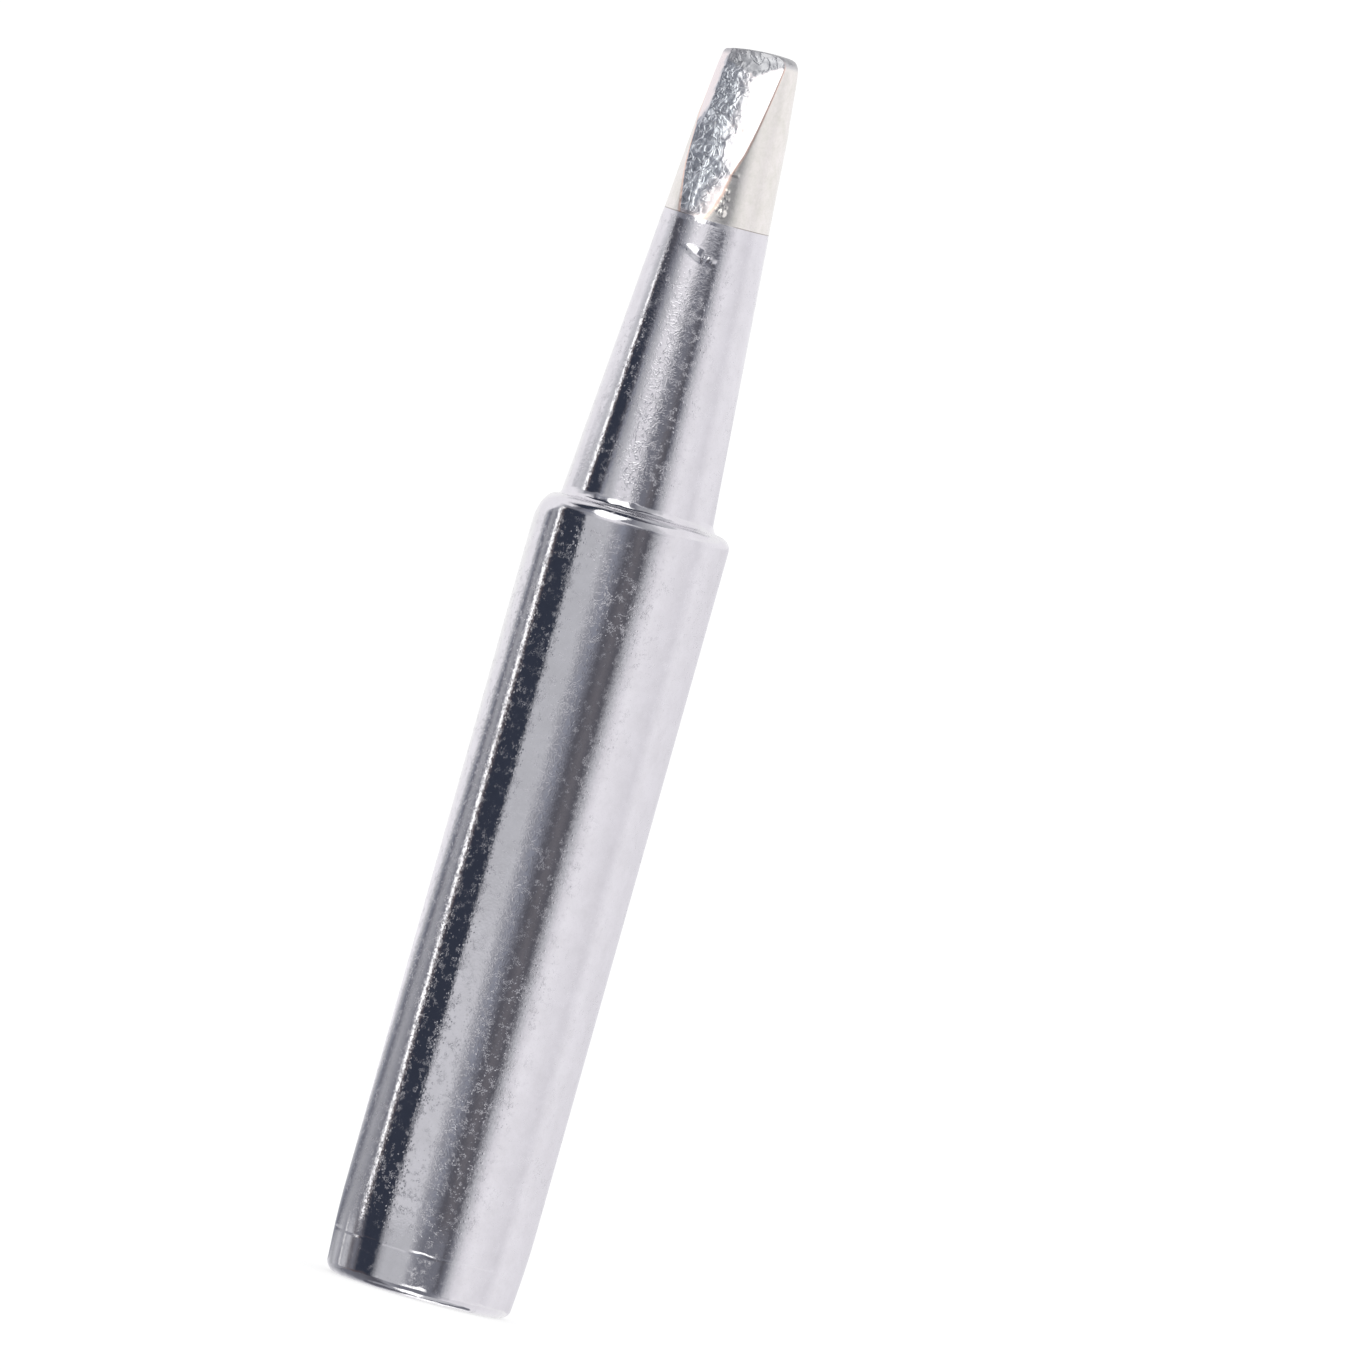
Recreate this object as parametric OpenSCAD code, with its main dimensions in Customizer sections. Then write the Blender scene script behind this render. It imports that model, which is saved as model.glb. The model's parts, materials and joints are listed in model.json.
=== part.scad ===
// Soldering iron tip: one turned piece of plated copper that slips over a rod-shaped heater.
// It stands on its open rear end, with the chisel blade upwards.
// The origin is the centre of the rear face. Sizes are in millimetres.

/* [Barrel] */
// Outer diameter of the straight barrel
barrel_d = 6.5; // [6:0.1:9]
// Length from the rear face to the shoulder
barrel_l = 26.9; // [25:0.1:33]
// Outer diameter at the rear face, before its edge is rounded
rear_d = 6.19; // [5.8:0.01:6.4]
// Length of the slight taper at the rear end
rear_taper_l = 2.5; // [1:0.1:6]
// Radius on the outer edge of the rear face
rear_round = 0.3; // [0.05:0.05:0.35]
// Radius on the outer edge of the shoulder
shoulder_round = 0.45; // [0.05:0.05:0.45]

/* [Heater bore] */
// Diameter of the bore that the heater slides into
bore_d = 4.2; // [3.6:0.1:4.6]
// Depth of the bore to the end of its straight wall
bore_depth = 24; // [12:0.5:25]
// Full angle of the drill point at the bottom of the bore
drill_angle = 118; // [90:1:140]
// Size of the chamfer at the mouth of the bore
mouth_chamfer = 0.25; // [0.05:0.05:0.4]

/* [Cone] */
// Overall length, from the rear face to the end of the blade
tip_l = 42.5; // [38:0.5:60]
// Diameter of the cone where it meets the shoulder
cone_root_d = 5.1; // [4.6:0.02:5.6]
// Radius in the corner between the cone and the shoulder
root_fillet = 0.18; // [0.05:0.01:0.2]
// Length of the tinned end, which the outer plating leaves bare
tinned_l = 5.8; // [3:0.1:9]
// Thickness of the outer plating, seen as a fine step where the tinned end starts
plating_t = 0.02; // [0.01:0.005:0.05]

/* [Blade] */
// Width of the chisel blade at its end
blade_w = 2.66; // [1.6:0.02:3.6]
// Thickness of the chisel blade at its end
blade_t = 1; // [0.5:0.05:1.4]
// Length of the two flats, from the end of the blade back to the cone
flat_l = 6.5; // [4:0.1:8]
// Height of the crown on the end of the blade
crown_h = 0.13; // [0.02:0.01:0.3]
// Radius on the edge round the end of the blade
end_round = 0.16; // [0.02:0.01:0.2]

/* [Hidden] */
$fn = 96;
// Straight steps in each rounded corner of the outline, and in the crown
arc_steps = 6;
crown_steps = 6;
// How far a cutting shape runs past what it cuts
spare = 1;

tinned_z = tip_l - tinned_l;
crown_z = tip_l - crown_h;
crown_r = (pow(blade_w / 2, 2) + pow(crown_h, 2)) / (2 * crown_h);
drill_point_l = bore_d / 2 / tan(drill_angle / 2);

// The ledge of the shoulder limits the radii on its two sides
ledge = (barrel_d - cone_root_d) / 2;
shoulder_arc = min(shoulder_round, 0.68 * ledge);
root_arc = min(root_fillet, 0.28 * ledge);

// Radius of the cone at height z
function cone_r(z) =
    let (down = (crown_z - z) / (crown_z - barrel_l))
    (blade_w + (cone_root_d - blade_w) * down) / 2;

function unit(v) = v / norm(v);
function turned(v, angle) = [v.x * cos(angle) - v.y * sin(angle), v.x * sin(angle) + v.y * cos(angle)];

// A corner between two neighbours, as the arc of that radius which meets both sides
function rounded(before, corner, after, radius) =
    let (
        to_before = unit(before - corner),
        to_after = unit(after - corner),
        half = acos(to_before * to_after) / 2,
        centre = corner + unit(to_before + to_after) * radius / sin(half),
        start = corner + to_before * radius / tan(half) - centre,
        sweep = sign(cross(to_after, to_before)) * (180 - 2 * half)
    )
    [for (i = [0:arc_steps]) centre + turned(start, sweep * i / arc_steps)];

// Half of the section, from the axis at the rear face round to the axis at the end of the blade
rear_corner = [rear_d / 2, 0];
barrel_start = [barrel_d / 2, rear_taper_l];
shoulder_corner = [barrel_d / 2, barrel_l];
cone_root = [cone_root_d / 2, barrel_l];
plating_end = [cone_r(tinned_z), tinned_z];
tinned_start = plating_end - [plating_t, 0];
blade_corner = [blade_w / 2, crown_z];
crown = [
    for (i = [1:crown_steps])
        let (r = blade_w / 2 * (1 - i / crown_steps))
        [r, tip_l - crown_r + sqrt(pow(crown_r, 2) - pow(r, 2))]
];
outline = concat(
    [[0, 0]],
    rounded([0, 0], rear_corner, barrel_start, rear_round),
    [barrel_start],
    rounded(barrel_start, shoulder_corner, cone_root, shoulder_arc),
    rounded(shoulder_corner, cone_root, plating_end, root_arc),
    [plating_end, tinned_start],
    rounded(tinned_start, blade_corner, crown[0], end_round),
    crown
);

// Blind hole from the rear face, with its mouth chamfered and a drill point at the bottom
module heater_bore() {
    translate([0, 0, -spare]) cylinder(h = bore_depth + spare, d = bore_d);
    translate([0, 0, bore_depth]) cylinder(h = drill_point_l, d1 = bore_d, d2 = 0);
    translate([0, 0, -spare])
        cylinder(h = mouth_chamfer + spare, d1 = bore_d + 2 * (mouth_chamfer + spare), d2 = bore_d);
}

// All that lies outside one flat, which runs from the end of the blade back to the cone
module flat_cut() {
    lean = atan((cone_r(tip_l - flat_l) - blade_t / 2) / flat_l);
    reach = flat_l / cos(lean) + 2 * spare;
    translate([0, blade_t / 2, tip_l])
        rotate([lean, 0, 0])
            translate([-blade_w, 0, spare - reach]) cube([2 * blade_w, cone_root_d, reach]);
}

module soldering_tip() {
    color([0.78, 0.78, 0.81])
        difference() {
            rotate_extrude() polygon(outline);
            heater_bore();
            for (side = [0, 180]) rotate([0, 0, side]) flat_cut();
        }
}

soldering_tip();
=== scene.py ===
import json
import math

import bmesh
import bpy
from mathutils import Matrix, Vector, noise


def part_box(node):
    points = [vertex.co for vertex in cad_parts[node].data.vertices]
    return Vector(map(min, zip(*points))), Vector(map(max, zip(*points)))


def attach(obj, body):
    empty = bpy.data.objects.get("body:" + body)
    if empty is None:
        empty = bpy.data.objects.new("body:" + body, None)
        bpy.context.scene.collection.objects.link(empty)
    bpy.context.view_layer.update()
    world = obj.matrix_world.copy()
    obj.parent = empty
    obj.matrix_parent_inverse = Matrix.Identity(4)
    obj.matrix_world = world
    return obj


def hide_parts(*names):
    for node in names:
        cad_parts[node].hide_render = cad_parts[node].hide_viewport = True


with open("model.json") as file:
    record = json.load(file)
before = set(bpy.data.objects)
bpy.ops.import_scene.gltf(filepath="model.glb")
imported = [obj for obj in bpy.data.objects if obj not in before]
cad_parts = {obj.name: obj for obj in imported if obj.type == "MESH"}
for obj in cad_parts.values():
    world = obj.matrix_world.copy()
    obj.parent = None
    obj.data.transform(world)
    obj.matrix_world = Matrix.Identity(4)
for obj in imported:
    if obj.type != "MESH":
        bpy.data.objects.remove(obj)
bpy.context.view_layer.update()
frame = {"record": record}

mm = 0.001
# Vector noise takes its offsets from the clock unless it is given a seed
noise.seed_set(7)

# Sizes that the frame gives
mounts = {mount["name"]: mount for mount in frame["record"]["mounts"]}
barrel_r = mounts["barrel_body"]["dims"]["r_mm"] * mm
bore_r = mounts["heater_bore"]["dims"]["r_mm"] * mm
shoulder_z = mounts["shoulder_face"]["pos_m"][2]
tip_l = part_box("soldering_tip")[1].z

# Rear end and barrel
rear_r = 3.117 * mm
rear_rise = 0.024 * mm
rear_round = 0.34 * mm
rear_dent = 0.009 * mm
rear_line_z = 1.5 * mm
rear_line_r = 3.212 * mm
rear_line_depth = 0.003 * mm
rear_line_w = 0.03 * mm
rear_line_wave = 0.06 * mm
taper_top_z = 2.4 * mm
taper_round = 0.5 * mm

# Shoulder
shoulder_top = shoulder_z - 0.09 * mm
shoulder_round = 0.45 * mm
shoulder_drop = 0.14 * mm
shoulder_drop_right = 0.1 * mm
root_fillet = 0.22 * mm
root_stretch = 1.5
root_wave = 0.016 * mm

# Heater bore
bore_depth = 24 * mm
drill_point_l = 1.26 * mm
mouth_chamfer = 0.25 * mm
mouth_round = 0.05 * mm

# Cone and tinned end
cone_root_r = 2.555 * mm
cone_aside = 0.02 * mm
cone_lean = 0.0062
tinned_z = tip_l - 5.83 * mm
tin_line_w = 0.022 * mm
plating_t = 0.015 * mm
plating_edge = 0.15 * mm
fine_from = tinned_z - 1.6 * mm
blade_w = 2.7 * mm
end_round = 0.16 * mm

# Crowned end of the blade
crown_h = 0.13 * mm
crown_steps = 9
crown_drop = 0.062 * mm
crown_lean = 0.08
corner_drop = 0.14 * mm
corner_in = 0.045 * mm

# Blade flats
blade_t = 1.2 * mm
flat_l = 6.08 * mm
flat_hollow = 0.04 * mm
flat_turn = 0.13
flat_turn_left = 0.05
flat_fold = 0.28 * mm
flat_edge = 0.05 * mm
worn_edge = 0.3 * mm
worn_from = 0.84 * mm
worn_slope = 0.5

# Solder on the flats. The fold between its crumpled and its smooth part is given as (height, place across)
fold_line = [(height * mm, across * mm) for height, across in (
    (36.7, 0.2), (37.0, 0.3), (37.6, 0.42), (38.1, 0.66), (38.3, 0.8), (38.6, 0.7), (39.1, 0.5), (40.3, 0.42),
    (42, 0.27))]
crumple_h = 0.022 * mm
crumple_left = -1.3 * mm
crumple_soft = 0.09 * mm
end_strip_z = 41.62 * mm
seam_h = 0.03 * mm
seam_w = 0.035 * mm
seam_l = 1.9 * mm

# The lip of plating behind the tinned end, whose crest drops towards the right
lip_z = 35.72 * mm
lip_drop = 0.3 * mm
lip_w = 0.28 * mm
lip_edge_w = 0.03 * mm
lip_foot_w = 0.2 * mm
lip_steepness = 0.17

# Beads of solder as (turn in degrees, height in millimetres, radius in millimetres), and a short raised line
beads = ((3.3, 37.02, 0.13), (5.9, 37.22, 0.05), (3.3, 37.76, 0.07), (0.7, 37.35, 0.07), (-1.8, 37.2, 0.05),
         (-3.5, 37.08, 0.05), (5.6, 37.5, 0.05), (1.5, 37.55, 0.04), (-1.5, 35.46, 0.06), (1.2, 35.4, 0.06),
         (3.4, 35.47, 0.07), (6.1, 35.4, 0.07), (8.6, 35.42, 0.05))
bead_height = 0.55
raised_line_z = 38.34 * mm
raised_line_h = 0.02 * mm
raised_line_w = 0.03 * mm

# Mesh fineness
around = 288
blade_row = 0.045 * mm
rear_row = 0.1 * mm
barrel_row = 1.0 * mm
arc_segments = 8
shoulder_segments = 16

# Heights of the marks in the plating, the solder and the bore
grain_h = 0.0026 * mm
speck_h = 0.007 * mm
curl_h = 0.003 * mm
wrinkle_h = 0.005 * mm
tin_grain_h = 0.006 * mm
foil_ridge_h = 0.009 * mm
ring_h = 0.004 * mm

# Where the photograph was taken from
view_azimuth = math.radians(29.5)
view_elevation = math.radians(2.2)
view_roll = math.radians(15.76)
view_distance = 1.2
view_width = 45.02 * mm
view_height = 21.72 * mm
view_aside = 3.056 * mm
sensor_w = 36

to_camera = Vector((math.sin(view_azimuth), -math.cos(view_azimuth), 0))
camera_right = Vector((math.cos(view_azimuth), math.sin(view_azimuth), 0))


def lerp(a, b, t):
    return a + (b - a) * t


def smooth(low, high, value):
    """0 below low, 1 above high, and a soft step between them."""
    t = min(1.0, max(0.0, (value - low) / (high - low)))
    return t * t * (3 - 2 * t)


def window(value, start, full, fading, end):
    """1 from full to fading, 0 outside start and end, and soft steps between them."""
    return smooth(start, full, value) * (1 - smooth(fading, end, value))


def soft_min(a, b, width):
    """The smaller of a and b, with the corner between them rounded over width."""
    near = max(width - abs(a - b), 0) / width
    return min(a, b) - near * near * width / 4


def along(points, z):
    """The value at height z between the (height, value) points."""
    for (z0, a), (z1, b) in zip(points, points[1:]):
        if z < z1:
            return lerp(a, b, smooth(z0, z1, z))
    return points[-1][1]


def waves(point, size):
    """Smooth noise, about -1 to 1, with waves as wide as size."""
    return noise.noise(point / size)


def ragged(point, height):
    """The uneven shift of an edge between two kinds of solder."""
    return height * (waves(point, 0.25 * mm) + 0.6 * waves(point, 0.1 * mm))


def turn_of(point):
    """How many degrees to the right of the camera's side a point lies, seen from the axis."""
    return math.degrees(math.atan2(point.dot(camera_right), point.dot(to_camera)))


def outward(point):
    return Vector((point.x, point.y, 0)).normalized()


# The section of the turned body

def cone_r(z):
    """Radius of the cone at height z, before the flats are cut."""
    down = (tip_l - crown_h - z) / (tip_l - crown_h - shoulder_z)
    return lerp(blade_w / 2, cone_root_r, down)


def crown_z(r):
    """Height of the crowned end at radius r."""
    crown_r = ((blade_w / 2) ** 2 + crown_h ** 2) / (2 * crown_h)
    return tip_l - crown_r + math.sqrt(crown_r ** 2 - r ** 2)


def section_corners():
    """Half the section's corners as (radius, height, rounding), from the bore's bottom round to the crown."""
    corners = [
        (0, bore_depth + drill_point_l, 0),
        (bore_r, bore_depth, 0),
        (bore_r, mouth_chamfer, mouth_round),
        (bore_r + mouth_chamfer, 0, mouth_round),
        (rear_r, rear_rise, rear_round),
        (rear_line_r - rear_line_depth, rear_line_z - rear_line_w, 0),
        (rear_line_r - 2 * rear_line_depth, rear_line_z, 0),
        (rear_line_r, rear_line_z + rear_line_w, 0),
        (barrel_r, taper_top_z, taper_round),
        (barrel_r, shoulder_top, shoulder_round),
        (cone_r(shoulder_top), shoulder_top, root_fillet),
        (cone_r(fine_from), fine_from, 0),
        (cone_r(tinned_z - plating_edge), tinned_z - plating_edge, 0),
        (cone_r(tinned_z) - 0.3 * plating_t, tinned_z - 0.4 * plating_edge, 0),
        (cone_r(tinned_z) - plating_t, tinned_z, 0),
        (blade_w / 2, tip_l - crown_h, end_round),
    ]
    for i in range(1, crown_steps + 1):
        r = blade_w / 2 * (1 - i / crown_steps)
        corners.append((r, crown_z(r), 0))
    return corners


def row_height(top, inner):
    """Height of the rows in a side that reaches up to top and in to the radius inner."""
    if top > fine_from + 0.01 * mm:
        return blade_row
    return rear_row if top < taper_top_z and inner > bore_r + mouth_chamfer else barrel_row


def section_wire(shape):
    """Draws the half section in shape, rounds its corners and splits its long sides into rows."""
    corners = section_corners()
    points = [shape.verts.new((r, 0, z)) for r, z, rounding in corners]
    for a, b in zip(points, points[1:]):
        shape.edges.new((a, b))
    for point, (r, z, rounding) in zip(points, corners):
        if rounding:
            segments = shoulder_segments if z == shoulder_top else arc_segments
            bmesh.ops.bevel(shape, geom=[point], offset=rounding, offset_type="OFFSET",
                            segments=segments, profile=0.5, affect="VERTICES", material=-1)
    for edge in list(shape.edges):
        bottom, top = sorted(vertex.co.z for vertex in edge.verts)
        row = row_height(top, min(vertex.co.x for vertex in edge.verts))
        if top - bottom > row:
            bmesh.ops.subdivide_edges(shape, edges=[edge], cuts=int((top - bottom) / row))


def turned_body():
    """The closed turned body, before the blade's flats."""
    shape = bmesh.new()
    section_wire(shape)
    bmesh.ops.spin(shape, geom=list(shape.verts) + list(shape.edges), cent=(0, 0, 0), axis=(0, 0, 1),
                   angle=2 * math.pi, steps=around, use_merge=True)
    bmesh.ops.remove_doubles(shape, verts=shape.verts, dist=0.0005 * mm)
    bmesh.ops.recalc_face_normals(shape, faces=shape.faces)
    return shape


# The blade. Its u is the distance across a flat, to the right of the axis for someone facing that flat

def flat_y(z):
    """Distance of the flats from the axis at height z."""
    lean = (cone_r(tip_l - flat_l) - blade_t / 2) / flat_l
    hollow = flat_hollow * (1 - smooth(tinned_z, tinned_z + 0.7 * mm, z))
    return blade_t / 2 + (tip_l - z) * lean - hollow


def worn_part(u, z):
    """1 on the upper left of a flat, where its edge is worn off to a narrow slope, and 0 elsewhere."""
    return smooth(tinned_z + 2.7 * mm, tinned_z + 3.8 * mm, z) if u < 0 else 0


def wall_y(u, z):
    """Distance of a flat's surface from the axis, with its fold and its worn edge."""
    off = (u - along(fold_line, z)) / flat_fold + 0.9
    roof = flat_fold * math.log(math.cosh(off)) * smooth(tinned_z, tinned_z + 0.6 * mm, z)
    worn = worn_part(u, z) * worn_slope * max(-u - worn_from, 0)
    return flat_y(z) - roof * (flat_turn if off > 0 else flat_turn_left) - worn


def crinkle(point):
    """Height of the crumpled solder skin at a point, about -1 to 1."""
    warp = noise.noise_vector(point / (0.45 * mm)) * 0.4
    folds = 1 - 2 * abs(noise.noise(point / (0.38 * mm) + warp))
    fine = 1 - 2 * abs(noise.noise(point / (0.18 * mm) - warp))
    return 0.76 * folds + 0.24 * fine


def end_part(point, u):
    """1 on the end of the blade and on the dull strip of the flats next to it, 0 below."""
    right_of_dip = u - 0.3 * mm
    strip_z = end_strip_z + ragged(point, 0.1 * mm) + right_of_dip * (0.59 if right_of_dip > 0 else -0.25)
    return smooth(-0.05 * mm, 0.05 * mm, point.z - strip_z)


def crumpled_part(point, u):
    """1 where the solder on a flat is crumpled, 0 where it is smooth."""
    uneven = ragged(point, 0.2 * mm)
    left_u = crumple_left + 0.4 * mm * smooth(39.4 * mm, 40.3 * mm, point.z)
    left = smooth(left_u - crumple_soft, left_u + crumple_soft, u + 0.4 * uneven)
    past_fold = u - along(fold_line, point.z) + uneven
    right = 1 - smooth(-0.05 * mm, 0.05 * mm, past_fold)
    right *= 1 - 0.5 * smooth(-0.6 * mm, -0.05 * mm, past_fold)
    return left * max(right, end_part(point, u))


def cut_flats(shape, inset, crumple, dull):
    """Brings what stands outside the two flats onto them. Each vertex notes how far inside a flat's edge
    it lies, in millimetres, and how crumpled and how dull the solder is there."""
    for vertex in shape.verts:
        x, y, z = vertex.co
        vertex[inset] = -1
        if z < tinned_z - mm or math.hypot(x, y) < 1e-6:
            continue
        side = math.copysign(1, y)
        u = -x * side
        wall = wall_y(u, z)
        steepness = abs(y) / max(abs(x), 0.05 * mm) if abs(y) > wall else 1
        vertex[inset] = max(-1, min(1, (abs(y) - wall) * steepness / mm))
        near_tin = 1 - smooth(tinned_z - 0.01 * mm, tinned_z + 0.19 * mm, z)
        cut_y = soft_min(abs(y), wall, lerp(flat_edge, worn_edge, worn_part(u, z)))
        vertex.co.y = side * lerp(cut_y, abs(y), near_tin)
        at_end = smooth(tip_l - 0.36 * mm, tip_l - 0.14 * mm, z)
        on_flat = smooth(-0.02, 0.02, vertex[inset])
        vertex[crumple] = max(crumpled_part(vertex.co, u) * on_flat * (1 - 0.3 * at_end), 0.4 * at_end)
        vertex[crumple] *= smooth(tinned_z + 0.05 * mm, tinned_z + 0.2 * mm, z)
        vertex[dull] = max(at_end, min(end_part(vertex.co, u), vertex[crumple]))


def lean_crown(shape):
    """Leans the crown of the blade towards one corner, and rounds the other."""
    for vertex in shape.verts:
        x, z = vertex.co.x, vertex.co.z
        near_end = smooth(tip_l - 0.9 * mm, tip_l - 0.1 * mm, z)
        if near_end:
            corner = smooth(0.75 * mm, blade_w / 2, x)
            vertex.co.z += (crown_lean * x - corner_drop * corner ** 2 - crown_drop) * near_end
            vertex.co.x -= corner_in * corner * smooth(tip_l - 0.5 * mm, tip_l - 0.1 * mm, vertex.co.z)


def crumple_solder(shape, crumple):
    """Raises the crumpled skin on the flats and on the end of the blade, and the seam on the flats."""
    for vertex in shape.verts:
        x, y, z = vertex.co
        if vertex[crumple]:
            vertex.co += vertex.normal * (crinkle(vertex.co) * crumple_h * vertex[crumple])
        if tinned_z + 0.2 * mm < z < tinned_z + seam_l and y:
            aside = -x * math.copysign(1, y) + 0.11 * mm + 0.06 * (z - tinned_z)
            aside += 0.03 * mm * waves(vertex.co, 0.2 * mm)
            raised = seam_h * math.exp(-(aside / seam_w) ** 2)
            vertex.co += vertex.normal * (raised * smooth(-0.02, 0.02, vertex[crumple]))


# Marks beside the blade, and the uneven shoulder and rear end

def add_plating_lip(shape):
    """The low lip just behind the tinned end, where the plating ran a little thicker."""
    for vertex in shape.verts:
        z = vertex.co.z
        if not lip_z - mm < z < lip_z + mm or vertex.co.xy.length < bore_r / 2:
            continue
        turn = turn_of(vertex.co)
        crest = lip_z - lip_drop * smooth(-31, -3, turn)
        swell = lip_w * window(turn, -31, -8, -4.5, -3) + lip_edge_w
        fade = window(turn, -33, -29, 9, 12)
        uneven = 1 + 0.5 * waves(vertex.co, 0.15 * mm) * smooth(-9, -4, turn)
        rise = 1 - smooth(0, swell, z - crest) if z > crest else 1 - smooth(0, lip_foot_w, crest - z)
        vertex.co += outward(vertex.co) * (lip_steepness * swell * uneven * rise * fade)


def add_beads(shape):
    """Small beads of solder, and a short raised line, beside the lower end of a flat."""
    for vertex in shape.verts:
        z = vertex.co.z
        in_reach = lip_z - 0.5 * mm < z < tinned_z + 2 * mm and vertex.co.xy.length > mm
        if not in_reach or abs(z - tinned_z) < 0.04 * mm:
            continue
        turn = turn_of(vertex.co)
        rise = raised_line_h * window(turn, 0, 2, 10, 12)
        rise *= math.exp(-((z - raised_line_z) / raised_line_w) ** 2)
        for bead_turn, bead_z, bead_r in beads:
            aside = math.radians(turn - bead_turn) * cone_r(z)
            apart = math.hypot(aside, z - bead_z * mm) / (bead_r * mm)
            if apart < 1:
                rise = max(rise, bead_height * bead_r * mm * (1 - apart * apart) ** 0.6)
        vertex.co += outward(vertex.co) * rise


def shape_shoulder(shape):
    """Makes the shoulder uneven: higher in front, and rounded over more on its left. Its fillet is wavy."""
    root_r = cone_r(shoulder_top)
    inner_r = barrel_r - shoulder_round
    for vertex in shape.verts:
        r, z = vertex.co.xy.length, vertex.co.z
        if r < root_r - 0.05 * mm or not shoulder_top - 0.6 * mm < z < shoulder_top + 0.4 * mm:
            continue
        turn = turn_of(vertex.co)
        to_right = math.sin(math.radians(turn))
        left = smooth(0.75, 1, -to_right)
        right = smooth(0.2, 1, to_right)
        drop = lerp(shoulder_drop, shoulder_drop_right, right) * min(1, 1 - math.cos(math.radians(turn)))
        if r > inner_r - 0.001 * mm:
            wide = lerp(1, 1.22, left)
            tall = lerp(lerp(1.1, 2.4, left), 0.9, right)
            new_r = barrel_r - (barrel_r - r) * wide
            new_z = shoulder_top - (shoulder_top - z) * tall
        else:
            out = max(r - root_r, 0)
            new_r = r - 0.42 * left * out + 0.078 * drop * (1 - out / (inner_r - root_r))
            up = z - shoulder_top
            uneven = window(turn, -60, -40, 30, 50) * window(up, 0.01 * mm, 0.1 * mm, 0.16 * mm, 0.22 * mm)
            new_r += root_wave * waves(vertex.co, 0.3 * mm) * uneven
            new_z = shoulder_top + up * root_stretch
        vertex.co.x *= new_r / r
        vertex.co.y *= new_r / r
        vertex.co.z = new_z - drop


def dent_rear_end(shape):
    """Small dents and waves along the rounded rear edge, and a few in the line above it."""
    for vertex in shape.verts:
        z = vertex.co.z
        if z > 1.8 * mm or vertex.co.xy.length < rear_r - 0.3 * mm:
            continue
        dents = waves(vertex.co, 0.35 * mm) + 0.5 * waves(vertex.co, 0.15 * mm)
        on_edge = window(z, 0, 0.03 * mm, 0.25 * mm, 0.5 * mm)
        vertex.co -= vertex.normal * (rear_dent * dents * on_edge)
        in_front = window(turn_of(vertex.co), -22, -12, 6, 14)
        near_line = 1 - smooth(0.05 * mm, 0.2 * mm, abs(z - rear_line_z))
        vertex.co.z += rear_line_wave * waves(vertex.co, 0.4 * mm) * near_line * in_front


def lean_cone(shape):
    """Leans the cone a little to one side of the barrel."""
    for vertex in shape.verts:
        on_cone = smooth(shoulder_z - 0.1 * mm, shoulder_z + 0.1 * mm, vertex.co.z)
        above = max(vertex.co.z - shoulder_z, 0)
        vertex.co -= camera_right * (cone_aside * on_cone + cone_lean * above)


# Material tools

def grey(value):
    return value, value, value


def add(tree, kind, **settings):
    """A new node, with its settings and its unlinked inputs given by name."""
    node = tree.nodes.new(kind)
    for name, value in settings.items():
        if name in node.bl_rna.properties:
            setattr(node, name, value)
        else:
            node.inputs[name.replace("_", " ")].default_value = value
    return node


def math_node(tree, operation, a, b=None, c=None):
    """A math node on numbers or sockets, which gives its result's socket."""
    node = add(tree, "ShaderNodeMath", operation=operation)
    for socket, value in zip(node.inputs, (a, b, c)):
        if value is None:
            continue
        if isinstance(value, (int, float)):
            socket.default_value = value
        else:
            tree.links.new(value, socket)
    return node.outputs[0]


def vector_math(tree, operation, a, b=None, scale=None):
    """A vector math node on vectors or sockets, which gives its result's socket."""
    node = add(tree, "ShaderNodeVectorMath", operation=operation)
    for socket, value in ((node.inputs[0], a), (node.inputs[1], b), (node.inputs[3], scale)):
        if value is None:
            continue
        if isinstance(value, (int, float, tuple)):
            socket.default_value = value
        else:
            tree.links.new(value, socket)
    return node.outputs[0]


def ramp(tree, fac, stops):
    """A colour ramp through (position, colour) stops, fed by fac."""
    node = add(tree, "ShaderNodeValToRGB")
    elements = node.color_ramp.elements
    while len(elements) < len(stops):
        elements.new(1.0)
    for element, (position, colour) in zip(elements, stops):
        element.position = position
        element.color = (*colour, 1)
    tree.links.new(fac, node.inputs["Fac"])
    return node.outputs["Color"]


def mix_colour(tree, fac, a, b):
    """A colour mix of two colours or sockets by fac."""
    node = add(tree, "ShaderNodeMix", data_type="RGBA")
    for socket, value in ((node.inputs["Factor"], fac), (node.inputs[6], a), (node.inputs[7], b)):
        if isinstance(value, tuple):
            socket.default_value = (*value, 1)
        else:
            tree.links.new(value, socket)
    return node.outputs[2]


def separate(tree, vector):
    node = add(tree, "ShaderNodeSeparateXYZ")
    tree.links.new(vector, node.inputs[0])
    return node.outputs


def bump(tree, height, distance, normal=None):
    """A bump of the given height in metres, on top of another bump's normal."""
    node = add(tree, "ShaderNodeBump", Strength=1.0, Distance=distance)
    tree.links.new(height, node.inputs["Height"])
    if normal:
        tree.links.new(normal, node.inputs["Normal"])
    return node.outputs["Normal"]


def object_coordinates(tree, scale=(1, 1, 1), turn=0.0):
    """The piece's own coordinates, scaled and turned round the axis."""
    mapping = add(tree, "ShaderNodeMapping", Scale=scale, Rotation=(0, 0, turn))
    tree.links.new(add(tree, "ShaderNodeTexCoord").outputs["Object"], mapping.inputs["Vector"])
    return mapping.outputs["Vector"]


def camera_axes(tree):
    """How far a point lies to the camera's right, away from the camera and up, each as a socket."""
    return separate(tree, object_coordinates(tree, turn=-view_azimuth))


def noise_node(tree, vector, scale, detail, roughness=0.5):
    node = add(tree, "ShaderNodeTexNoise", Scale=scale, Detail=detail, Roughness=roughness)
    tree.links.new(vector, node.inputs["Vector"])
    return node.outputs["Fac"]


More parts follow.
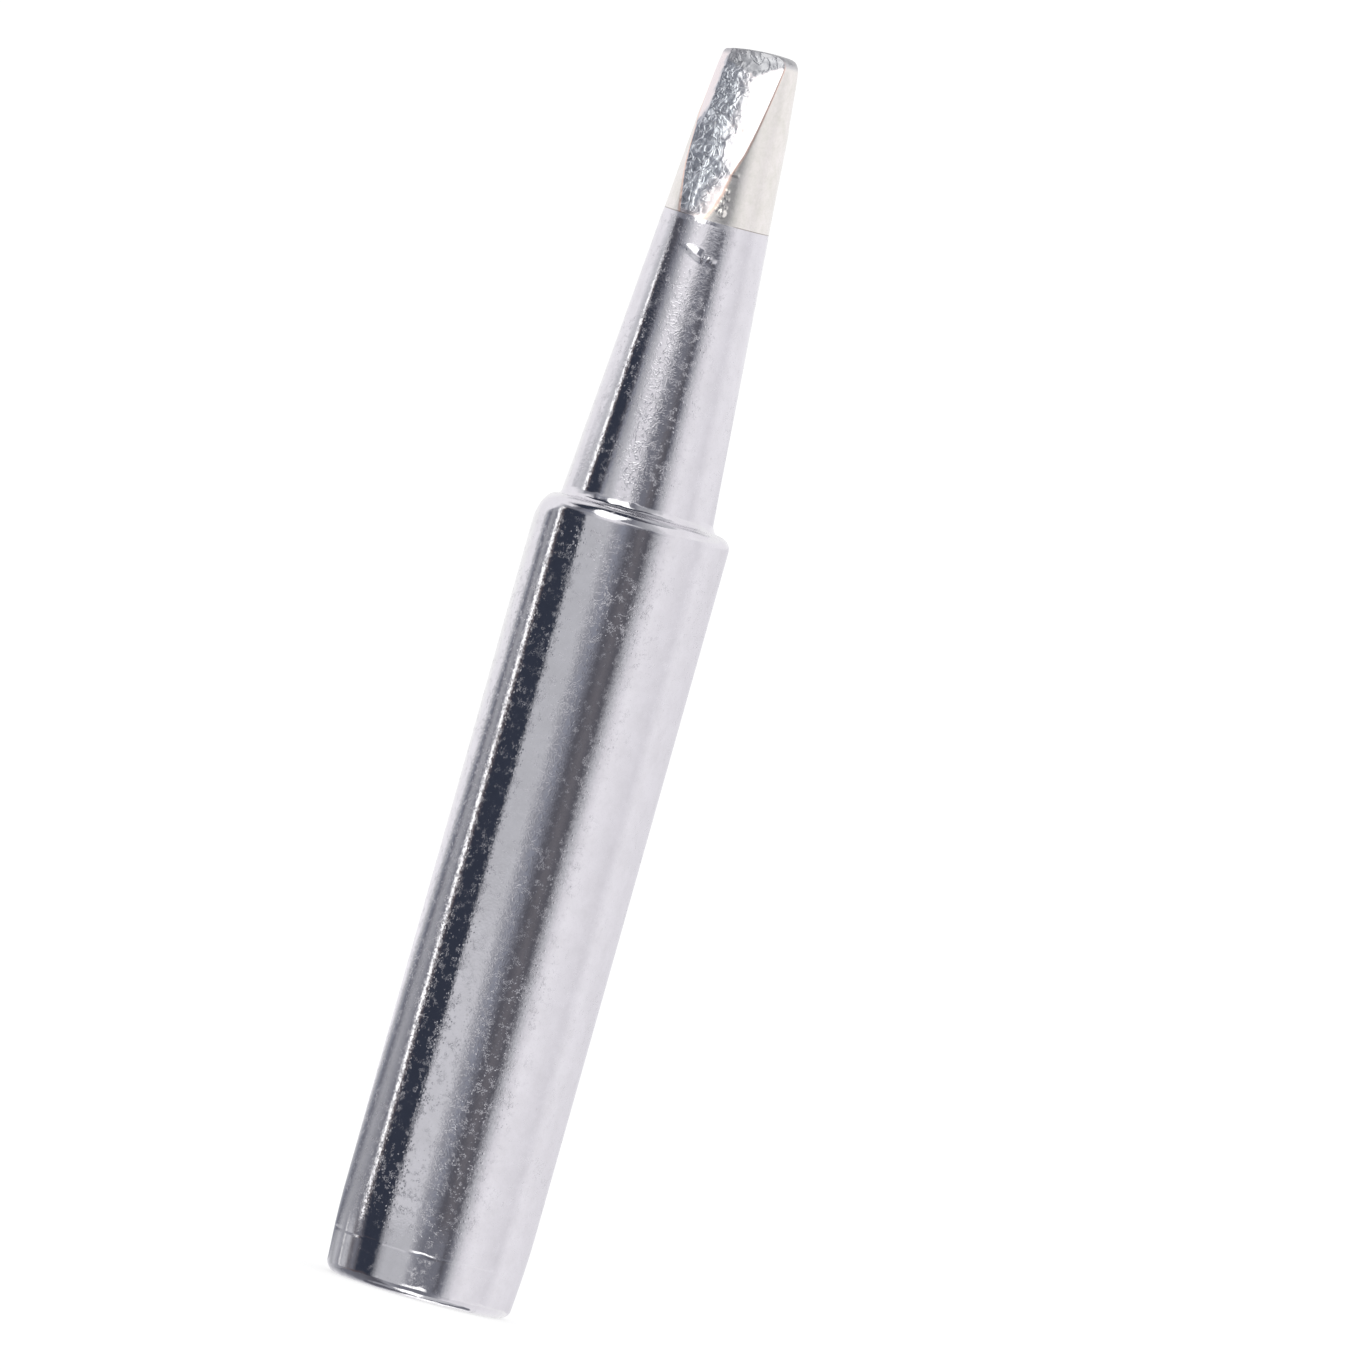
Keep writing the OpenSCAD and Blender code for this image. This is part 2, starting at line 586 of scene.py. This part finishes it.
def new_material(name, metallic, roughness, colour):
    material = bpy.data.materials.new(name)
    material.use_nodes = True
    tree = material.node_tree
    shader = tree.nodes["Principled BSDF"]
    shader.inputs["Metallic"].default_value = metallic
    shader.inputs["Roughness"].default_value = roughness
    shader.inputs["Base Color"].default_value = (*colour, 1)
    return material, tree, shader


def bare_material(name):
    """A material with nothing in it but its output, whose surface socket is given too."""
    material = bpy.data.materials.new(name)
    material.use_nodes = True
    tree = material.node_tree
    tree.nodes.clear()
    return material, tree, add(tree, "ShaderNodeOutputMaterial").inputs["Surface"]


# Patterns that the plating and the solder share

def new_group(name, numbers):
    """A node group that takes a vector and the named numbers, and gives a mask."""
    group = bpy.data.node_groups.new(name, "ShaderNodeTree")
    group.interface.new_socket("Vector", in_out="INPUT", socket_type="NodeSocketVector")
    for number in numbers:
        group.interface.new_socket(number, in_out="INPUT", socket_type="NodeSocketFloat")
    group.interface.new_socket("Mask", in_out="OUTPUT", socket_type="NodeSocketFloat")
    inside, outside = add(group, "NodeGroupInput"), add(group, "NodeGroupOutput")
    return group, inside.outputs, outside.inputs["Mask"]


def specks_group():
    """Small round specks scattered over a surface: Share of the cells hold one, as wide as Size in cells."""
    group, given, mask = new_group("specks", ("Scale", "Share", "Size"))
    cells = add(group, "ShaderNodeTexVoronoi")
    for name in ("Vector", "Scale"):
        group.links.new(given[name], cells.inputs[name])
    drawn = separate(group, cells.outputs["Color"])
    chosen = math_node(group, "LESS_THAN", drawn[0], given["Share"])
    edge = add(group, "ShaderNodeMapRange", interpolation_type="SMOOTHSTEP", From_Min=0, To_Min=1, To_Max=0)
    group.links.new(cells.outputs["Distance"], edge.inputs["Value"])
    group.links.new(math_node(group, "MULTIPLY", given["Size"], drawn[1]), edge.inputs["From Max"])
    group.links.new(math_node(group, "MULTIPLY", edge.outputs["Result"], chosen), mask)
    return group


def ridges_group():
    """Thin lines that wander over a surface: 1 where the noise is at its middle, 0 where it is Width off."""
    group, given, mask = new_group("ridges", ("Scale", "Detail", "Distortion", "Width"))
    swirl = add(group, "ShaderNodeTexNoise", Roughness=0.5)
    for name in ("Vector", "Scale", "Detail", "Distortion"):
        group.links.new(given[name], swirl.inputs[name])
    off_line = math_node(group, "ABSOLUTE", math_node(group, "SUBTRACT", swirl.outputs["Fac"], 0.5))
    edge = add(group, "ShaderNodeMapRange", From_Min=0, To_Min=1, To_Max=0)
    group.links.new(off_line, edge.inputs["Value"])
    group.links.new(given["Width"], edge.inputs["From Max"])
    group.links.new(edge.outputs["Result"], mask)
    return group


specks = specks_group()
ridges = ridges_group()


def pattern(tree, group, vector, **numbers):
    """A group placed in a material with its own numbers, which gives its mask's socket."""
    node = add(tree, "ShaderNodeGroup", node_tree=group, **numbers)
    tree.links.new(vector, node.inputs["Vector"])
    return node.outputs["Mask"]


# Bright plating

def streaked_normal(tree, streaks, amount):
    """The surface's normal, swung to either side by fine streaks, less where it faces up or down."""
    normal = add(tree, "ShaderNodeNewGeometry").outputs["Normal"]
    aside = vector_math(tree, "CROSS_PRODUCT", (0, 0, 1), normal)
    upward = math_node(tree, "ABSOLUTE", separate(tree, normal)[2])
    upright = math_node(tree, "MAXIMUM", math_node(tree, "MULTIPLY_ADD", upward, -3, 1), 0)
    swing = math_node(tree, "MULTIPLY", math_node(tree, "SUBTRACT", streaks, 0.5), amount)
    swing = math_node(tree, "MULTIPLY", swing, upright)
    swung = vector_math(tree, "ADD", normal, vector_math(tree, "SCALE", aside, None, swing))
    return vector_math(tree, "NORMALIZE", swung)


def gathered_marks(tree, place, share_up):
    """Where the grains and curls gather: in clusters at the rear end, below the shoulder and on the cone."""
    by_height = ramp(tree, share_up, [
        (0, grey(0.04)), (0.035, grey(0.04)), (0.07, grey(1)), (0.2, grey(0.9)), (0.3, grey(0.5)),
        (0.5, grey(0.5)), (0.57, grey(0.9)), (0.605, grey(0.8)), (0.615, grey(0.05)), (0.64, grey(0.05)),
        (0.65, grey(0.7)), (0.85, grey(0.7))])
    clusters = ramp(tree, noise_node(tree, place, 500, 2), [(0.35, grey(0.2)), (0.6, grey(1))])
    return math_node(tree, "MULTIPLY", by_height, clusters)


def front_wrinkles(tree, place, share_up):
    """Wrinkles down the front of the cone, and faint ones down the front of the barrel."""
    right, away = camera_axes(tree)[:2]
    front = ramp(tree, math_node(tree, "MULTIPLY_ADD", right, 0.25 / mm, 0.5),
                 [(0.26, grey(0)), (0.34, grey(1)), (0.44, grey(1)), (0.52, grey(0))])
    front = math_node(tree, "MULTIPLY", front, math_node(tree, "LESS_THAN", away, 0))
    by_height = ramp(tree, share_up, [
        (0.05, grey(0)), (0.09, grey(0.35)), (0.6, grey(0.35)), (0.61, grey(0)), (0.635, grey(0)),
        (0.643, grey(1)), (0.79, grey(0.7)), (0.82, grey(0.1))])
    lines = pattern(tree, ridges, place, Scale=2600, Detail=2, Distortion=1.6, Width=0.05)
    return math_node(tree, "MULTIPLY", lines, math_node(tree, "MULTIPLY", front, by_height))


def bright_plating():
    """Bright plating over a turned surface, with streaks, grains, curls, wrinkles, haze and dull dots."""
    material, tree, shader = new_material("bright_plating", 1.0, 0.09, (0.79, 0.78, 0.805))
    place = object_coordinates(tree)
    share_up = math_node(tree, "MULTIPLY", separate(tree, place)[2], 1 / tip_l)
    gathered = gathered_marks(tree, place, share_up)
    grains = pattern(tree, specks, place, Scale=9600, Share=0.6, Size=0.5)
    grains = math_node(tree, "MULTIPLY", grains, gathered)
    curls = pattern(tree, ridges, place, Scale=6600, Detail=2, Distortion=1.2, Width=0.04)
    broken = ramp(tree, noise_node(tree, place, 4200, 1), [(0.5, grey(0)), (0.6, grey(1))])
    curls = math_node(tree, "MULTIPLY", math_node(tree, "MULTIPLY", curls, broken), gathered)
    fine_grain = noise_node(tree, place, 11000, 2)
    fine_grain = math_node(tree, "MULTIPLY", fine_grain, math_node(tree, "ADD", gathered, 0.4))
    streaks = noise_node(tree, object_coordinates(tree, (1, 1, 4)), 3600, 2, 0.6)
    streak_amount = ramp(tree, share_up, [(0.034, grey(0.025)), (0.06, grey(0.06))])
    normal = streaked_normal(tree, streaks, streak_amount)
    for mark, mark_h in ((fine_grain, grain_h), (grains, speck_h), (curls, curl_h),
                         (front_wrinkles(tree, place, share_up), wrinkle_h)):
        normal = bump(tree, mark, mark_h, normal)
    tree.links.new(normal, shader.inputs["Normal"])
    roughness = ramp(tree, noise_node(tree, place, 4200, 5, 0.7),
                     [(0.4, grey(0.06)), (0.54, grey(0.1)), (0.68, grey(0.3))])
    # The shoulder's ledge and the rear face are a little duller
    upward = separate(tree, add(tree, "ShaderNodeNewGeometry").outputs["Normal"])[2]
    ledge = ramp(tree, math_node(tree, "ABSOLUTE", upward), [(0.65, grey(0)), (0.85, grey(0.14))])
    for rougher, amount in ((curls, 0.15), (grains, 0.35), (ledge, 1)):
        roughness = math_node(tree, "MULTIPLY_ADD", rougher, amount, roughness)
    tree.links.new(roughness, shader.inputs["Roughness"])
    tone = ramp(tree, noise_node(tree, place, 1400, 5, 0.7),
                [(0.3, (0.74, 0.73, 0.75)), (0.65, (0.81, 0.8, 0.825))])
    dots = pattern(tree, specks, place, Scale=1300, Share=0.16, Size=0.13)
    tree.links.new(mix_colour(tree, math_node(tree, "MULTIPLY", dots, 0.4), tone, (0.45, 0.43, 0.42)),
                   shader.inputs["Base Color"])
    return material


# Tinned solder

def foil_facets(tree, place, crumple):
    """The surface's normal, tilted in small facets like foil where the solder is crumpled."""
    warp = add(tree, "ShaderNodeTexNoise", Scale=4200, Detail=3)
    tree.links.new(place, warp.inputs["Vector"])
    shift = vector_math(tree, "SCALE", warp.outputs["Color"], None, 0.22 * mm)
    shifted = vector_math(tree, "ADD", place, shift)
    normal = add(tree, "ShaderNodeNewGeometry").outputs["Normal"]
    for scale, amount in ((1700, 0.15), (4400, 0.1)):
        cells = add(tree, "ShaderNodeTexVoronoi", Scale=scale)
        tree.links.new(shifted, cells.inputs["Vector"])
        tilt = vector_math(tree, "SUBTRACT", cells.outputs["Color"], grey(0.5))
        tilt = vector_math(tree, "SCALE", tilt, None, math_node(tree, "MULTIPLY", crumple, amount))
        normal = vector_math(tree, "ADD", normal, tilt)
    return vector_math(tree, "NORMALIZE", normal)


def solder_colour(tree, place, inset, crumple):
    """Warm on the cone's sides, pinkish on a smooth flat, grey where crumpled, reddish along the edges."""
    across_edge = math_node(tree, "MULTIPLY_ADD", inset, 4, 0.5)
    edge = ramp(tree, across_edge, [(0.3, grey(0)), (0.44, grey(1)), (0.52, grey(1)), (0.62, grey(0))])
    on_flat = ramp(tree, across_edge, [(0.5, grey(0)), (0.64, grey(1))])
    sides = ramp(tree, noise_node(tree, place, 1500, 6, 0.8),
                 [(0.36, (0.83, 0.815, 0.75)), (0.64, (0.94, 0.905, 0.865))])
    colour = mix_colour(tree, on_flat, sides, (0.93, 0.86, 0.85))
    # The crumpled solder is darker towards the left edge of its flat
    x, y = separate(tree, place)[:2]
    across = math_node(tree, "MULTIPLY", x, math_node(tree, "SIGN", y))
    shade = ramp(tree, math_node(tree, "MULTIPLY_ADD", across, -0.4 / mm, 0.5),
                 [(0.1, (0.6, 0.62, 0.66)), (0.24, (0.64, 0.665, 0.7)), (0.44, (0.88, 0.91, 0.94))])
    colour = mix_colour(tree, crumple, colour, shade)
    colour = mix_colour(tree, math_node(tree, "MULTIPLY", edge, 0.55), colour, (0.95, 0.6, 0.47))
    dots = pattern(tree, specks, place, Scale=1900, Share=0.2, Size=0.27)
    return mix_colour(tree, math_node(tree, "MULTIPLY", dots, 0.4), colour, (0.5, 0.46, 0.42))


def tin_line_shade(tree):
    """The thin dark line painted as shade where the tin starts. The middle of the front doesn't have it,
    because the step there catches the lamp.
    """
    axes = camera_axes(tree)
    off_line = math_node(tree, "ABSOLUTE", math_node(tree, "SUBTRACT", axes["Z"], tinned_z + 0.01 * mm))
    line = math_node(tree, "LESS_THAN", off_line, tin_line_w)
    # Painted shade: the line is kept only at the sides, as seen from the camera
    shaded_sides = ramp(tree, math_node(tree, "MULTIPLY_ADD", axes["X"], 0.25 / mm, 0.5),
                 [(0.2, grey(1)), (0.25, grey(0)), (0.6, grey(0)), (0.66, grey(1))])
    return math_node(tree, "MULTIPLY", line, math_node(tree, "MULTIPLY", shaded_sides, 0.7))


def tinned_solder():
    """Tinned metal: smooth and warm on the sides of the cone, crumpled like foil on the flats."""
    material, tree, shader = new_material("tinned_solder", 1.0, 0.2, (0.88, 0.86, 0.83))
    place = object_coordinates(tree)
    inset, crumple, dull = [add(tree, "ShaderNodeAttribute", attribute_name=name).outputs["Fac"]
                            for name in ("inset", "crumple", "dull")]
    normal = bump(tree, noise_node(tree, place, 2600, 3, 0.6), tin_grain_h, foil_facets(tree, place, crumple))
    lines = pattern(tree, ridges, place, Scale=2000, Detail=1, Distortion=1.4, Width=0.06)
    normal = bump(tree, math_node(tree, "MULTIPLY", lines, crumple), foil_ridge_h, normal)
    tree.links.new(normal, shader.inputs["Normal"])
    colour = solder_colour(tree, place, inset, crumple)
    # Painted shade along the line where the tin starts
    colour = mix_colour(tree, tin_line_shade(tree), colour, (0.3, 0.27, 0.25))
    colour = mix_colour(tree, math_node(tree, "MULTIPLY", dull, 0.8), colour, (0.52, 0.52, 0.53))
    tree.links.new(colour, shader.inputs["Base Color"])
    roughness = mix_colour(tree, crumple, grey(0.24), grey(0.27))
    tree.links.new(mix_colour(tree, dull, roughness, grey(0.36)), shader.inputs["Roughness"])
    return material


def bore_wall():
    """The drilled wall inside: dull, darker metal with faint turned rings."""
    material, tree, shader = new_material("bore_wall", 1.0, 0.42, (0.5, 0.46, 0.43))
    rings = noise_node(tree, object_coordinates(tree, (0.15, 0.15, 3)), 6000, 3, 0.6)
    tree.links.new(bump(tree, rings, ring_h), shader.inputs["Normal"])
    tree.links.new(ramp(tree, rings, [(0.3, (0.36, 0.32, 0.3)), (0.7, (0.55, 0.52, 0.5))]),
                   shader.inputs["Base Color"])
    return material


# The piece

def make_object(name, shape, *materials):
    """A new object from a bmesh, which this uses up."""
    mesh = bpy.data.meshes.new(name)
    shape.to_mesh(mesh)
    shape.free()
    for material in materials:
        mesh.materials.append(material)
    made = bpy.data.objects.new(name, mesh)
    bpy.context.scene.collection.objects.link(made)
    return made


def build_tip():
    shape = turned_body()
    inset, crumple, dull = [shape.verts.layers.float.new(name) for name in ("inset", "crumple", "dull")]
    cut_flats(shape, inset, crumple, dull)
    lean_crown(shape)
    shape.normal_update()
    crumple_solder(shape, crumple)
    add_plating_lip(shape)
    add_beads(shape)
    dent_rear_end(shape)
    shape_shoulder(shape)
    lean_cone(shape)
    for face in shape.faces:
        face.smooth = True
        centre = face.calc_center_median()
        in_bore = centre.xy.length < bore_r + 0.9 * mouth_chamfer and centre.z < bore_depth + drill_point_l
        if centre.z > tinned_z:
            face.material_index = 1
        elif in_bore and centre.z > 0.01 * mm:
            face.material_index = 2
    tip = make_object("soldering_tip_skin", shape, bright_plating(), tinned_solder(), bore_wall())
    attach(tip, "root")
    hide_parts("soldering_tip")


# The studio

floor_size = 14.0
tent_r = 80 * mm
tent_low = -250 * mm
tent_high = 400 * mm

white = (1.0, 1.0, 1.0)
lamp = (1.6, 1.6, 1.6)
pale = (0.965, 0.95, 0.985)
pale_dip = (0.84, 0.825, 0.865)
lighter_grey = (0.7, 0.7, 0.735)
light_grey = (0.57, 0.575, 0.605)
soft_grey = (0.43, 0.435, 0.46)
mid_grey = (0.34, 0.345, 0.38)
blue_grey = (0.29, 0.305, 0.36)
slate = (0.20, 0.205, 0.24)
dark_slate = (0.11, 0.11, 0.13)
brown_grey = (0.17, 0.163, 0.18)
brown_edge = (0.13, 0.105, 0.11)
navy = (0.038, 0.045, 0.067)

# What the walls of the light tent show, by the turn in degrees at which the barrel reflects it
low_bands = [
    (-90, white), (-79, pale), (-71.4, pale), (-69.4, pale_dip), (-67.4, light_grey), (-65.2, soft_grey),
    (-63.4, blue_grey), (-61.8, slate), (-60.4, slate), (-58.4, mid_grey), (-56.4, soft_grey),
    (-52.8, mid_grey), (-49.7, slate), (-48.5, lamp), (-47.4, lamp), (-46.3, brown_edge), (-43.4, navy),
    (-29.5, navy), (-27.2, light_grey), (-13.5, light_grey), (-9, mid_grey), (-5, blue_grey), (-2, slate),
    (1.5, dark_slate), (6, brown_grey), (10.7, dark_slate), (15.5, light_grey), (19.5, pale_dip), (24, pale),
    (43, pale_dip), (50, pale), (76, pale_dip),
]
near_bands = [
    (turn, lighter_grey if colour is light_grey and -30 < turn < -10 else colour)
    for turn, colour in low_bands
]
rear_bands = [
    (-90, pale), (-80, lighter_grey), (-76, light_grey), (-73, soft_grey), (-67.5, light_grey),
    (-62, mid_grey), (-60.9, mid_grey), (-60, white), (-59.4, white), (-58.7, mid_grey), (-57, light_grey),
    (-54, light_grey), (-50.5, brown_grey), (-46.5, slate), (-44, dark_slate), (-42, navy), (-31, navy),
    (-27.5, soft_grey), (-24, light_grey), (-11, light_grey), (-8, mid_grey), (-4, slate), (1, slate),
    (7.5, slate), (10, dark_slate), (13, slate), (16, light_grey), (20, pale_dip), (26, pale),
    (43, pale_dip), (50, pale), (76, pale_dip),
]
rear_lamp_bands = [
    (-90, pale), (-76, light_grey), (-60, mid_grey), (-46, brown_edge), (-31, navy), (-27, light_grey),
    (-11, light_grey), (-9, lamp), (3, lamp), (5, slate), (12, slate), (16, light_grey), (22, pale),
    (90, white),
]
rear_dark_bands = [
    (-90, pale), (-76, light_grey), (-60, slate), (-30, dark_slate), (-22, mid_grey), (-12, slate),
    (8, slate), (14, mid_grey), (22, pale_dip), (60, pale), (90, white),
]
cone_bands = [
    (-90, white), (-83, white), (-76, pale), (-57.5, pale), (-53, lighter_grey), (-49.5, light_grey),
    (-48.2, light_grey), (-47.2, lamp), (-45.9, lamp), (-44.8, brown_edge), (-42, navy), (-34, navy),
    (-31.4, dark_slate), (-29.4, blue_grey), (-26.5, soft_grey), (-23, light_grey), (-20.5, lighter_grey),
    (-17, pale_dip), (-9, pale_dip), (-5, mid_grey), (-2, slate), (3, slate), (6, brown_grey),
    (10.5, dark_slate), (12, slate), (16.5, light_grey), (21, pale_dip), (26, pale), (42, pale_dip),
    (50, pale), (75, pale), (88, white),
]
upper_cone_bands = [
    (-90, white), (-83, white), (-76, pale), (-56, pale), (-49.5, lighter_grey), (-46.5, mid_grey),
    (-43, dark_slate), (-37, dark_slate), (-33, slate), (-29, mid_grey), (-24, light_grey), (-20, pale_dip),
    (-14, pale), (-9, pale), (-5, soft_grey), (-1, slate), (4, slate), (10, dark_slate), (12, slate),
    (16.5, light_grey), (21, pale_dip), (26, pale), (42, pale_dip), (50, pale), (75, pale), (88, white),
]
tin_bands = [
    (-90, white), (-83, white), (-76, pale), (-56, pale), (-49.5, lighter_grey), (-46.5, mid_grey),
    (-37, slate), (-29, mid_grey), (-24, light_grey), (-20, pale_dip), (-14, pale), (-9, pale),
    (-5, pale_dip), (-1, lighter_grey), (4, light_grey), (8, mid_grey), (11, mid_grey), (16, lighter_grey),
    (21, pale_dip), (26, pale), (42, pale_dip), (50, pale), (75, pale), (88, white),
]
flat_bands = [
    (-90, white), (-76, pale), (-44, pale), (-41.5, mid_grey), (-38, dark_slate), (-35.5, slate),
    (-29, blue_grey), (-25, mid_grey), (-20, soft_grey), (-13, light_grey), (-9, mid_grey), (-2, slate),
    (3, mid_grey), (8, soft_grey), (15, light_grey), (22, pale), (90, white),
]
high_bands = [
    (-90, slate), (-80, mid_grey), (-70, pale), (-55, pale), (-50, mid_grey), (-48, navy), (-36, navy),
    (-32, slate), (-28, mid_grey), (-13, mid_grey), (-9, mid_grey), (-2, slate), (3, mid_grey),
    (8, soft_grey), (15, light_grey), (22, pale), (70, pale), (80, mid_grey), (90, slate),
]
bottom_bands = [
    (-90, lamp), (-86, lamp), (-82, slate), (-50, dark_slate), (-45, mid_grey), (-24, mid_grey), (-19, lamp),
    (3, lamp), (7, light_grey), (45, light_grey), (50, slate), (70, slate), (75, lamp), (90, lamp),
]
over_bands = [
    (-90, pale), (-60, light_grey), (-48, navy), (-8, navy), (14, dark_slate), (26, mid_grey),
    (40, light_grey), (70, light_grey), (90, pale),
]

# Left of the thin lamp line at this turn, the grey card's width in degrees changes with height in millimetres
lamp_turn = -49.4
card_w = 21.9
card_slant = 1.22
card_bend = 0.0256
drawn_card_w = 12

# The high lamp: a wide sheet whose lower edge hangs down in the middle, with heights in millimetres
high_lamp_turn = -16
high_lamp_low = 49
high_lamp_top = 186
hang_left = 0.0175
hang_right = 0.058
lamp_soft = 4


def bands_at(tree, turn, bands):
    """The colour of the bands at the turn in degrees that a socket gives."""
    share = math_node(tree, "ADD", math_node(tree, "DIVIDE", turn, 180), 0.5)
    return ramp(tree, share, [(band_turn / 180 + 0.5, colour) for band_turn, colour in bands])


def step_up(tree, height, start, end):
    """0 at the height start, 1 at the height end."""
    node = add(tree, "ShaderNodeMapRange", interpolation_type="SMOOTHSTEP", From_Min=start, From_Max=end)
    tree.links.new(height, node.inputs["Value"])
    return node.outputs["Result"]


def slanted_turn(tree, turn, height):
    """The turn, stretched left of the lamp line, so that the grey card's far edge slants with height."""
    width = math_node(tree, "MULTIPLY_ADD", height, card_bend, -card_slant)
    width = math_node(tree, "MULTIPLY_ADD", height, width, card_w)
    left = math_node(tree, "MINIMUM", math_node(tree, "SUBTRACT", turn, lamp_turn), 0)
    stretch = math_node(tree, "SUBTRACT", math_node(tree, "DIVIDE", drawn_card_w, width), 1)
    return math_node(tree, "ADD", turn, math_node(tree, "MULTIPLY", left, stretch))


def high_lamp(tree, turn, height):
    """1 where the walls are the high lamp."""
    lower = high_lamp_low
    aside = math_node(tree, "SUBTRACT", turn, high_lamp_turn)
    for side, hang in ((-1, hang_left), (1, hang_right)):
        out = math_node(tree, "MAXIMUM", math_node(tree, "MULTIPLY", aside, side), 0)
        lower = math_node(tree, "MULTIPLY_ADD", math_node(tree, "POWER", out, 3), hang, lower)
    lit = math_node(tree, "DIVIDE", math_node(tree, "SUBTRACT", height, lower), lamp_soft)
    lit = math_node(tree, "MINIMUM", math_node(tree, "MAXIMUM", lit, 0), 1)
    return math_node(tree, "MULTIPLY", lit, step_up(tree, height, high_lamp_top, high_lamp_top - 12))


def tent_material():
    """The light tent's walls: vertical bands that change with height, seen in the metal only."""
    material, tree, surface = bare_material("light_tent")
    right, away, height = camera_axes(tree)
    angle = math_node(tree, "ARCTAN2", right, math_node(tree, "MULTIPLY", away, -1))
    turn = math_node(tree, "MULTIPLY", angle, 90 / math.pi)
    height = math_node(tree, "DIVIDE", height, mm)
    slanted = slanted_turn(tree, turn, height)
    colour = bands_at(tree, turn, rear_bands)
    for start, end, sideways, bands in (
            (-16, -17, turn, rear_lamp_bands), (-27, -29, turn, rear_dark_bands),
            (-95, -115, turn, bottom_bands), (-7, -4, slanted, near_bands), (7, 11, slanted, low_bands),
            (28, 34, turn, cone_bands), (39.5, 42, turn, upper_cone_bands), (45.5, 47, turn, tin_bands),
            (58, 61, turn, flat_bands), (82, 86, turn, high_bands), (176, 190, turn, over_bands)):
        colour = mix_colour(tree, step_up(tree, height, start, end), colour, bands_at(tree, sideways, bands))
    colour = mix_colour(tree, high_lamp(tree, turn, height), colour, lamp)
    glow = add(tree, "ShaderNodeEmission", Strength=1.0)
    tree.links.new(colour, glow.inputs["Color"])
    tree.links.new(glow.outputs[0], surface)
    return material


def build_tent():
    shape = bmesh.new()
    ring = bmesh.ops.create_circle(shape, segments=128, radius=tent_r)["verts"]
    bmesh.ops.translate(shape, verts=ring, vec=(0, 0, tent_low))
    walls = bmesh.ops.extrude_edge_only(shape, edges=shape.edges)["geom"]
    top = [item for item in walls if isinstance(item, bmesh.types.BMVert)]
    bmesh.ops.translate(shape, verts=top, vec=(0, 0, tent_high - tent_low))
    for end, height in ((top, tent_high), (ring, tent_low)):
        rim = [edge for edge in shape.edges if edge.verts[0] in end and edge.verts[1] in end]
        lid = bmesh.ops.extrude_edge_only(shape, edges=rim)
        middle = [item for item in lid["geom"] if isinstance(item, bmesh.types.BMVert)]
        bmesh.ops.pointmerge(shape, verts=middle, merge_co=(0, 0, height))
    tent = make_object("light_tent", shape, tent_material())
    for ray in ("camera", "diffuse", "transmission", "volume_scatter", "shadow"):
        setattr(tent, "visible_" + ray, False)


def floor_material():
    """White paper that takes the object's soft shadow, and that is clear from below."""
    material, tree, surface = bare_material("white_floor")
    paper = add(tree, "ShaderNodeBsdfDiffuse", Color=(*grey(0.35), 1))
    glow = add(tree, "ShaderNodeEmission", Color=(*grey(0.72), 1), Strength=1.0)
    lit = add(tree, "ShaderNodeAddShader")
    tree.links.new(paper.outputs[0], lit.inputs[0])
    tree.links.new(glow.outputs[0], lit.inputs[1])
    choose = add(tree, "ShaderNodeMixShader")
    tree.links.new(add(tree, "ShaderNodeNewGeometry").outputs["Backfacing"], choose.inputs["Fac"])
    tree.links.new(lit.outputs[0], choose.inputs[1])
    tree.links.new(add(tree, "ShaderNodeBsdfTransparent").outputs[0], choose.inputs[2])
    tree.links.new(choose.outputs[0], surface)
    return material


def build_floor():
    shape = bmesh.new()
    bmesh.ops.create_grid(shape, x_segments=1, y_segments=1, size=floor_size / 2)
    floor = make_object("floor", shape, floor_material())
    floor.visible_glossy = False


def build_world():
    world = bpy.data.worlds.new("white_room")
    world.use_nodes = True
    background = world.node_tree.nodes["Background"]
    background.inputs["Color"].default_value = (*white, 1)
    background.inputs["Strength"].default_value = 1.0
    bpy.context.scene.world = world


def build_camera():
    data = bpy.data.cameras.new("camera")
    data.sensor_width = sensor_w
    data.lens = sensor_w * view_distance / view_width
    data.clip_start, data.clip_end = 0.01, 50
    camera = bpy.data.objects.new("camera", data)
    bpy.context.scene.collection.objects.link(camera)
    back = to_camera * math.cos(view_elevation) + Vector((0, 0, math.sin(view_elevation)))
    up = back.cross(camera_right)
    target = Vector((0, 0, view_height)) + camera_right * view_aside
    picture_right = camera_right * math.cos(view_roll) + up * math.sin(view_roll)
    picture_up = up * math.cos(view_roll) - camera_right * math.sin(view_roll)
    turn = Matrix((picture_right, picture_up, back)).transposed()
    camera.matrix_world = Matrix.Translation(target + back * view_distance) @ turn.to_4x4()
    bpy.context.scene.camera = camera


build_camera()
build_world()
build_floor()
build_tent()
build_tip()
bpy.context.scene.view_settings.view_transform = "Standard"
